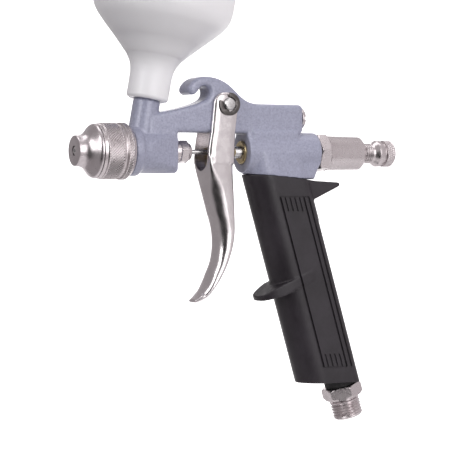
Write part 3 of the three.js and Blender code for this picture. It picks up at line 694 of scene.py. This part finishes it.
def trigger_side():
    """Side view: ears round the pin, an almost straight rear edge and a blade with a curled tip."""
    points = arc(PIN_X - 1.6, PIN_Z, 5.1, 180, 90, 12) + arc(PIN_X, PIN_Z, 5.1, 90, 0, 12)
    points += [(-0.9, 8), (-1.2, 0)]
    points += bezier((-1.2, 0), (-1.3, -3), (-1.4, -6.4))
    points += bezier((-1.4, -6.4), (-1.4, -15), (-0.2, -27), (-0.4, -34), steps=20)
    points += bezier((-0.4, -34), (-0.8, -44), (-5.0, -52), (-10.6, -59.2), steps=20)
    points += bezier((-10.6, -59.2), (-13.2, -63.4), (-17.2, -64.4), steps=10)
    points += [(-18.4, -64.0), (-18.2, -62.6)]
    points += bezier((-18.2, -62.6), (-13, -59.5), (-9, -53.2), (-7.3, -48), steps=20)
    points += bezier((-7.3, -48), (-5.4, -41), (-5.8, -34), (-8.2, -27.4), steps=20)
    points += bezier((-8.2, -27.4), (-11.5, -15), (-13.9, -5.5), steps=20)
    points += bezier((-13.9, -5.5), (-13.9, 2), (-12.5, 8), steps=12)
    return points


def across(name, outline, low, high):
    """A front view swept along the barrel."""
    place = BARREL @ Matrix.Rotation(math.pi / 2, 4, "Z") @ Matrix.Rotation(math.pi / 2, 4, "X")
    return prism(name, outline, low, high, place)


def spaced(points, count):
    """The same curve with evenly spaced points."""
    pts = [Vector(p) for p in points]
    lengths = [0.0]
    for a, b in zip(pts, pts[1:]):
        lengths.append(lengths[-1] + (b - a).length)
    out, k = [], 0
    for n in range(count):
        goal = lengths[-1] * n / (count - 1)
        while k < len(pts) - 2 and lengths[k + 1] < goal:
            k += 1
        out.append(pts[k].lerp(pts[k + 1], (goal - lengths[k]) / (lengths[k + 1] - lengths[k])))
    return out


def blade_half_width(z):
    """Half the blade's width: it narrows evenly and rounds off at the tip."""
    width = 7.95 - 1.95 * min(1, max(0, (-z - 4) / 40))
    if z < -54:
        width *= math.sqrt(max(0.06, 1 - ((-z - 54) / 11.5) ** 2))
    return width


def blade():
    """The finger blade: a rounded section carried down between the front and rear curves."""
    front = bezier((-13.9, -1), (-14.0, -8), (-11.4, -15), (-8.2, -27.4), steps=24)
    front += bezier((-8.2, -27.4), (-5.8, -34), (-5.4, -41), (-7.3, -48), steps=20)
    front += bezier((-7.3, -48), (-9, -53.2), (-13, -59.5), (-18.3, -62.9), steps=20)
    rear = bezier((-1.2, -1), (-1.3, -4), (-1.4, -6.4), steps=8)
    rear += bezier((-1.4, -6.4), (-1.4, -15), (-0.2, -27), (-0.4, -34), steps=20)
    rear += bezier((-0.4, -34), (-0.8, -44), (-5.0, -52), (-10.6, -59.2), steps=20)
    rear += bezier((-10.6, -59.2), (-13.2, -63.4), (-18.1, -64.3), steps=12)
    stations = list(zip(spaced(front, 70), spaced(rear, 70)))
    around = 64
    points = []
    for a, b in stations:
        height = (a.y + b.y) / 2
        morph = min(1, max(0, (-height - 2) / 16))
        morph = morph * morph * (3 - 2 * morph)
        width = blade_half_width(height)
        forward = (a - b).normalized()
        depth = (a - b).length + 2.1 * morph * min(1, max(0, (height + 64) / 10))
        nose = 1.6 + (min(width, 0.75 * depth) - 1.6) * morph if depth > 3.2 else depth / 2
        power = 0.3 + 0.7 * morph
        for k in range(around):
            c, d = math.cos(TAU * k / around), math.sin(TAU * k / around)
            if c > 0:
                along = depth - nose + nose * c ** power
                side = math.copysign(abs(d) ** power, d)
            else:
                along = (depth - nose) * (1 - abs(c) ** 0.35)
                side = math.copysign(abs(d) ** 0.35, d)
            point = b + forward * along
            points.append((point.x, width * side, point.y))
    faces = [list(range(around)), list(range(len(points) - around, len(points)))]
    for row in range(len(stations) - 1):
        for k in range(around):
            n = (k + 1) % around
            low, high = row * around, (row + 1) * around
            faces.append([low + k, low + n, high + n, high + k])
    return mesh_object("finger_blade", points, faces, BARREL)


def trigger():
    ears = prism("trigger_lever", trigger_side(), -TRIGGER_HALF, TRIGGER_HALF, SIDE, 1.3, 6, 3.0)
    cheek = [(-30, -5), (20, -5), (20, 40), (-30, 40)]
    combine(ears, [prism("ear_zone", cheek, -20, 20, SIDE)], "INTERSECT")
    obj = fused([ears, blade()], 0.3, 5)
    gap = [(EAR_INNER, 30), *arc(0, -2, EAR_INNER, 0, -180), (-EAR_INNER, 30)]
    tools = [across("gap", gap, -30, 30),
             turned("pin_hole", [(-12, 0), (-12, PIN_HOLE_R), (12, PIN_HOLE_R), (12, 0)], PIN, 48)]
    combine(obj, tools, "DIFFERENCE")
    return finish_piece(obj, "trigger_lever", "trigger", CHROME, sharp=50)


def trigger_roller():
    place = SIDE @ Matrix.Translation((-2.9, 0, 0))
    obj = turned("push_roller", soften([(-5.8, 0), (-5.8, 3.0), (5.8, 3.0), (5.8, 0)], 0.4), place, 64)
    bore = turned("needle_bore", [(-12, 0), (-12, 2.3), (8, 2.3), (8, 0)], ALONG_X, 48)
    combine(obj, [bore], "DIFFERENCE")
    return finish_piece(obj, "trigger_lever", "trigger_roller", BRASS)


def trigger_pin():
    profile = [(-8.9, 0), (-8.9, 3.4), (-8.3, 3.6), (-8.3, 2.5), (8.1, 2.5), (8.1, 1.9), (9.1, 1.9),
               (9.1, 2.5), (9.2, 2.5), (9.6, 2.1), (9.6, 0)]
    obj = turned("pivot_pin", soften(profile, 0.12, 3), PIN, 64)
    return finish_piece(obj, "gun", "trigger_pin", STEEL)


def trigger_clip():
    """E-clip: an open ring with three inner lugs that hold the pin's groove."""
    steps = 60
    start, end = 160, 92 + 360  # the ring's two ends, in degrees
    outer = arc(0, 0, 4.9, start, end, steps)
    inner = []
    for k in range(steps + 1):
        angle = math.radians(end - (end - start) * k / steps)
        from_lug = min(abs((math.degrees(angle) - lug + 180) % 360 - 180) for lug in CLIP_LUGS)
        radius = 2.05 if from_lug < 16 else 3.1
        inner.append((radius * math.cos(angle), radius * math.sin(angle)))
    obj = prism("e_clip", outer + inner, CLIP_LOW, CLIP_LOW + 0.7, PIN, edge=0.12, steps=2)
    return finish_piece(obj, "gun", "trigger_clip", DARK)


trigger()
trigger_roller()
trigger_pin()
trigger_clip()


# ---------------------------------------------------------------- grip
WALL = 1.5
CORE_FLOOR = -92.5
PANEL = {"front": -3.8, "rear": 7.3, "top": -8.5, "bottom": -85.9}


def sleeve_side():
    """Side view of the sleeve on the barrel's frame: sloped top, level floor and thumb spur."""
    return soften([(2, -9.4), (16, -9.9), (34.6, -11.7), (38, -12.2), (49.3, -12.8), (50.3, -13.3),
                   (50.2, -14.2), (49.4, -14.8), (37.3, -20.4), (60.2, -98.5), (64.5, -100.5),
                   (20, -100.5)], 0.4)


def finger_rest():
    """The rest in front of the grip: a rounded tongue with a wedge-shaped side view."""
    plan = [(3, 9.6)] + bezier((3, 9.6), (-8, 10.2), (-19.5, 9.4), (-21.7, 4.2), steps=20)
    plan += bezier((-21.7, 4.2), (-22.9, 0), (-21.7, -4.2), steps=10)
    plan += bezier((-21.7, -4.2), (-19.5, -9.4), (-8, -10.2), (3, -9.6), steps=20)
    tongue = prism("finger_rest", plan, -54, -40, HANDLE)
    wedge_place = HANDLE @ Matrix.Rotation(math.pi / 2, 4, "X")
    side = [(-26, -49.0), (-13, -45.5), (6, -43.4), (6, -46.8), (-6, -49.0), (-13, -50.4),
            (-22, -50.2), (-26, -49.8)]
    return combine(tongue, [prism("wedge", side, -15, 15, wedge_place)], "INTERSECT")


def panel_cutters():
    """Grooves that frame the side panels, and the short ribs at their ends, on both sides."""
    top, bottom, front, rear = (PANEL[key] for key in ("top", "bottom", "front", "rear"))
    level = math.tan(GRIP_TILT)  # the panel's ends lie level while the grip leans
    boxes = [(front - 0.55, front + 0.55, bottom, top, 0.9),
             (rear - 0.45, rear + 0.45, bottom, top, 0.8),
             (rear + 1.9, rear + 2.8, bottom, top, 0.8),
             (front, rear + 2.4, top - 0.3, top + 0.3, 0.5),
             (front, rear, bottom - 0.3, bottom + 0.3, 0.5)]
    for k in range(4):
        x = front + 2.2 + 2.25 * k
        boxes += [(x - 0.4, x + 0.4, top - 6.5, top, 0.55),
                  (x - 0.4, x + 0.4, bottom, bottom + 6.0, 0.55)]
    place = HANDLE @ Matrix.Rotation(math.pi / 2, 4, "X")
    cutters = []
    for x0, x1, low, high, depth in boxes:
        corners = [(x0, low), (x1, low), (x1, high), (x0, high)]
        outline = [(x, z + level * (x - front)) for x, z in corners]
        for side in (-1, 1):
            near, far = sorted((side * (GRIP_WIDTH / 2 - depth), side * (GRIP_WIDTH / 2 + 1)))
            cutters.append(prism("groove", outline, near, far, place))
    return cutters


def grip():
    obj = prism("grip_handle", grip_section(GRIP_DEPTH, GRIP_WIDTH, 4), -120, 20, HANDLE)
    box = [(8, -7.5), (34, -7.5), (34, 7.5), (8, 7.5)]
    spur = prism("spur", box, -24, 2, HANDLE)
    combine(obj, [spur], "UNION")
    combine(obj, [prism("side_view", sleeve_side(), -19, 19, SIDE)], "INTERSECT")
    obj = fused([obj, finger_rest()], 0.36, 3)
    core = grip_section(GRIP_DEPTH - 2 * WALL, GRIP_WIDTH - 2 * WALL, 3.2)
    shank = [(-110, 0), (-110, 3.8), (-80, 3.8), (-80, 0)]
    grooves = panel_cutters()
    combine(grooves[0], [gathered(grooves[1:])], "UNION", overlapping=True)
    hollow = combine(prism("core", core, CORE_FLOOR - 0.3, 20, HANDLE),
                     [turned("mouth", shank, INLET, 48), grooves[0]], "UNION")
    combine(obj, [hollow], "DIFFERENCE")
    return finish_piece(obj, "gun", "grip_sleeve", GRIP, sharp=40)


grip()


# ---------------------------------------------------------------- air inlet
def air_inlet():
    profile = soften([(-112.8, 4.6), (-112.8, 5.7), (-111.9, 6.58), (-104.9, 6.58), (-104.8, 5.6),
        (-103.7, 5.6), (-103.6, 8.0), (-102.7, 8.95), (-99.2, 8.95), (-98.3, 8.0), (-98.3, 3.5),
        (-84, 3.5), (-84, 2.3), (-102.5, 2.3), (-104.8, 4.6)], 0.22, 3, closed=True)
    profile = refined(profile, -111.9, -104.9, 0.11)
    flats = hexagon(15.5, -103.65, -98.3, 0.47 + math.pi / 6)
    screw = thread(1.337, 0.80, -112.3, -105.0)

    def relief(angle, height, radius):
        if height < -104.5:
            return screw(angle, height, radius) if radius > 5.65 else radius
        return flats(angle, height, radius)
    obj = turned("inlet_fitting", profile, INLET, 120, relief)
    return finish_piece(obj, "gun", "air_inlet_nipple", NICKEL)


air_inlet()


# ---------------------------------------------------------------- cup
CUP_TOP = 92.0
CUP_R = 30.0
NECK_FLOOR = 2.0  # the neck's lower end, on the cup's axis
NECK_R = 8.9
FUNNEL = [(8, NECK_R), (13, 8.95), (15.7, 9.45), (17.8, 10.3), (21.8, 12.9), (24, 15.0),
          (27.4, 18.6), (31.9, 23.2), (36.3, 27.3), (39.6, 29.3), (43.5, CUP_R)]


def cup_body():
    rim = CUP_R - 0.8
    outer = [(NECK_FLOOR, NECK_R - 1), (NECK_FLOOR + 1, NECK_R), *FUNNEL, (CUP_TOP - 10, CUP_R),
             (CUP_TOP - 10, rim), (CUP_TOP, rim)]
    inner = [(CUP_TOP, rim - 1.8), (41, rim - 1.8), (35.5, 26.2), (20, 11.6), (15, 7.2), (12, 5.6),
             (12, 3.2), (10.9, 3.2), (10.9, 5.3), (NECK_FLOOR, 5.3)]
    profile = soften(outer + inner, 1.6, 6, closed=True)
    obj = turned("paint_cup", profile, CUP, 144)
    return finish_piece(obj, "cup", "cup_body", CUP_NYLON)


def cup_lid():
    top, under = CUP_TOP + 3.8, CUP_TOP + 1.4
    skirt, vent_top = CUP_TOP - 9.4, CUP_TOP + 9.5
    profile = soften([(skirt, 29.5), (skirt, 32), (top - 1.6, 32), (top, 30.2), (top, 3.0),
        (vent_top, 3.0), (vent_top, 1.4), (under, 1.4), (under, 29.5)], 0.6, 4, closed=True)
    profile = refined(profile, skirt, top - 1.0, 0.8)

    def grips(angle, height, radius):
        if radius < 31 or height > top - 2.0 or height < skirt + 1.2:
            return radius
        fade = min(1, (top - 2.0 - height) / 1.5, (height - skirt - 1.2) / 1.0)
        return radius - 0.9 * fade * max(0.0, math.cos(angle * 36)) ** 1.5
    obj = turned("screw_lid", profile, CUP, 288, grips)
    return finish_piece(obj, "lid", "cup_lid", LID)


def vent_cap():
    low, high = CUP_TOP + 4.1, CUP_TOP + 10.5
    profile = soften([(low, 3.3), (low, 5.2), (high, 5.2), (high + 1.2, 4.2), (high + 1.2, 0)], 0.4, 4)
    profile += [(CUP_TOP + 9.8, 0), (CUP_TOP + 9.8, 3.3)]
    profile = refined(profile, low, high, 0.6)

    def ribs(angle, height, radius):
        return radius - 0.3 * max(0.0, math.cos(angle * 20)) if radius > 5.1 else radius
    obj = turned("vent_cover", profile, CUP, 160, ribs)
    return finish_piece(obj, "vent", "vent_cap", LID)


cup_body()
cup_lid()
vent_cap()


# ---------------------------------------------------------------- carried-over CAD pieces
CARRIED = {
    "cap_snap_ring": SPRING, "nozzle_gasket": SEAL, "needle_packing": SEAL, "needle_chuck": BRASS,
    "air_valve_seat": SEAL, "air_valve_spring": SPRING, "needle_spring": SPRING,
    "spring_guide": BRASS, "inlet_collar": RUBBER, "cup_seal": RUBBER, "cup_strainer": SEAL,
    "lid_liner": SEAL,
}
for node, material in CARRIED.items():
    carried = frame["nodes"][node]
    carried.data.materials.clear()
    carried.data.materials.append(material)


# ---------------------------------------------------------------- floor, light and camera
VIEW_TURN = math.radians(27)
VIEW_LIFT = math.radians(1.0)
VIEW_DISTANCE = 0.9
VIEW_FIELD = math.radians(12.54)
TARGET = ORIGIN + Vector((0, 0, -33.4 * MM))


def stage():
    """A pale floor that curves up behind the gun and glows a little in the camera's view."""
    look = Look("pale_paper", (0.93, 0.93, 0.935), 0.7)
    look.tint(look.noise(0.002, 4), (0.925, 0.925, 0.93), (0.94, 0.94, 0.94), 0.3, 0.7)
    look.set("Specular IOR Level", 0.0)
    look.set("Emission Color", (1, 1, 1, 1))
    across_view = look.along((math.cos(VIEW_TURN), -math.sin(VIEW_TURN), 0))
    glow = look.remap(look.absolute(across_view), 0.42, 0.7, 1.0, 0.0)
    away = look.along((math.sin(VIEW_TURN), math.cos(VIEW_TURN), 0))
    behind = look.remap(away, 0.4, 0.75, 0.0, 1.0)
    look.links.new(look.times(glow, behind), look.shader.inputs["Emission Strength"])
    floor_z = CAD_BOX[0][2] - 0.12
    outline = [(-0.30, 0), (2.2, 0)] + [(2.2 + x, y) for x, y in arc(0, 1.2, 1.2, -90, 0, 20)]
    outline += [(3.4, 4.0)]
    points, faces = [], []
    for k, (y, z) in enumerate(outline):
        points += [(-0.16, y, floor_z + z), (3.2, y, floor_z + z)]
        if k:
            faces.append([2 * k - 2, 2 * k - 1, 2 * k + 1, 2 * k])
    paper = mesh_object("paper", points, faces)
    paper.data.materials.append(look.material)
    shaded(paper, 0)


def soft_light(name, place, aim, size, power):
    """A rectangular lamp turned toward a point."""
    light = bpy.data.lights.new(name, "AREA")
    light.shape = "RECTANGLE"
    light.size, light.size_y = size
    light.energy = power
    obj = bpy.data.objects.new(name, light)
    obj.location = place
    obj.rotation_euler = (Vector(aim) - Vector(place)).to_track_quat("-Z", "Y").to_euler()
    bpy.context.collection.objects.link(obj)


def camera():
    data = bpy.data.cameras.new("camera")
    data.angle = VIEW_FIELD
    obj = bpy.data.objects.new("camera", data)
    back = Vector((-math.sin(VIEW_TURN), -math.cos(VIEW_TURN), math.tan(VIEW_LIFT))).normalized()
    obj.location = TARGET + back * VIEW_DISTANCE
    obj.rotation_euler = (-back).to_track_quat("-Z", "Y").to_euler()
    bpy.context.collection.objects.link(obj)
    bpy.context.scene.camera = obj


def room():
    """A studio lighter toward the knob's end, with the dark of the camera's side for metal to show."""
    world = bpy.data.worlds.new("room")
    world.use_nodes = True
    nodes, links = world.node_tree.nodes, world.node_tree.links
    direction = nodes.new("ShaderNodeTexCoord").outputs["Generated"]

    def graded(toward, low, high, dim, bright):
        dot = nodes.new("ShaderNodeVectorMath")
        dot.operation = "DOT_PRODUCT"
        dot.inputs[1].default_value = toward
        links.new(direction, dot.inputs[0])
        ramp = nodes.new("ShaderNodeMapRange")
        ramp.interpolation_type = "SMOOTHSTEP"
        for socket, number in (("From Min", low), ("From Max", high),
                               ("To Min", dim), ("To Max", bright)):
            ramp.inputs[socket].default_value = number
        links.new(dot.outputs["Value"], ramp.inputs["Value"])
        return ramp.outputs["Result"]
    product = nodes.new("ShaderNodeMath")
    product.operation = "MULTIPLY"
    links.new(graded((0.9, -0.2, 0.1), -0.6, 0.6, 0.34, 0.66), product.inputs[0])
    links.new(graded((-0.62, -0.76, -0.20), 0.72, 0.95, 1.0, 0.06), product.inputs[1])
    background = nodes["Background"]
    background.inputs["Color"].default_value = (1.0, 0.945, 0.965, 1)
    links.new(product.outputs["Value"], background.inputs["Strength"])
    bpy.context.scene.world = world


def lighting():
    room()
    bpy.context.scene.view_settings.view_transform = "Standard"
    centre = TARGET
    soft_light("key", centre + Vector((0.08, -1.2, 0.35)), centre, (0.7, 1.1), 5.4)
    soft_light("nose_light", centre + Vector((-1.0, -0.4, 0.5)), centre, (0.5, 0.9), 4.6)
    soft_light("top", centre + Vector((0.1, 0.1, 1.2)), centre, (1.1, 0.6), 4)


stage()
camera()
lighting()
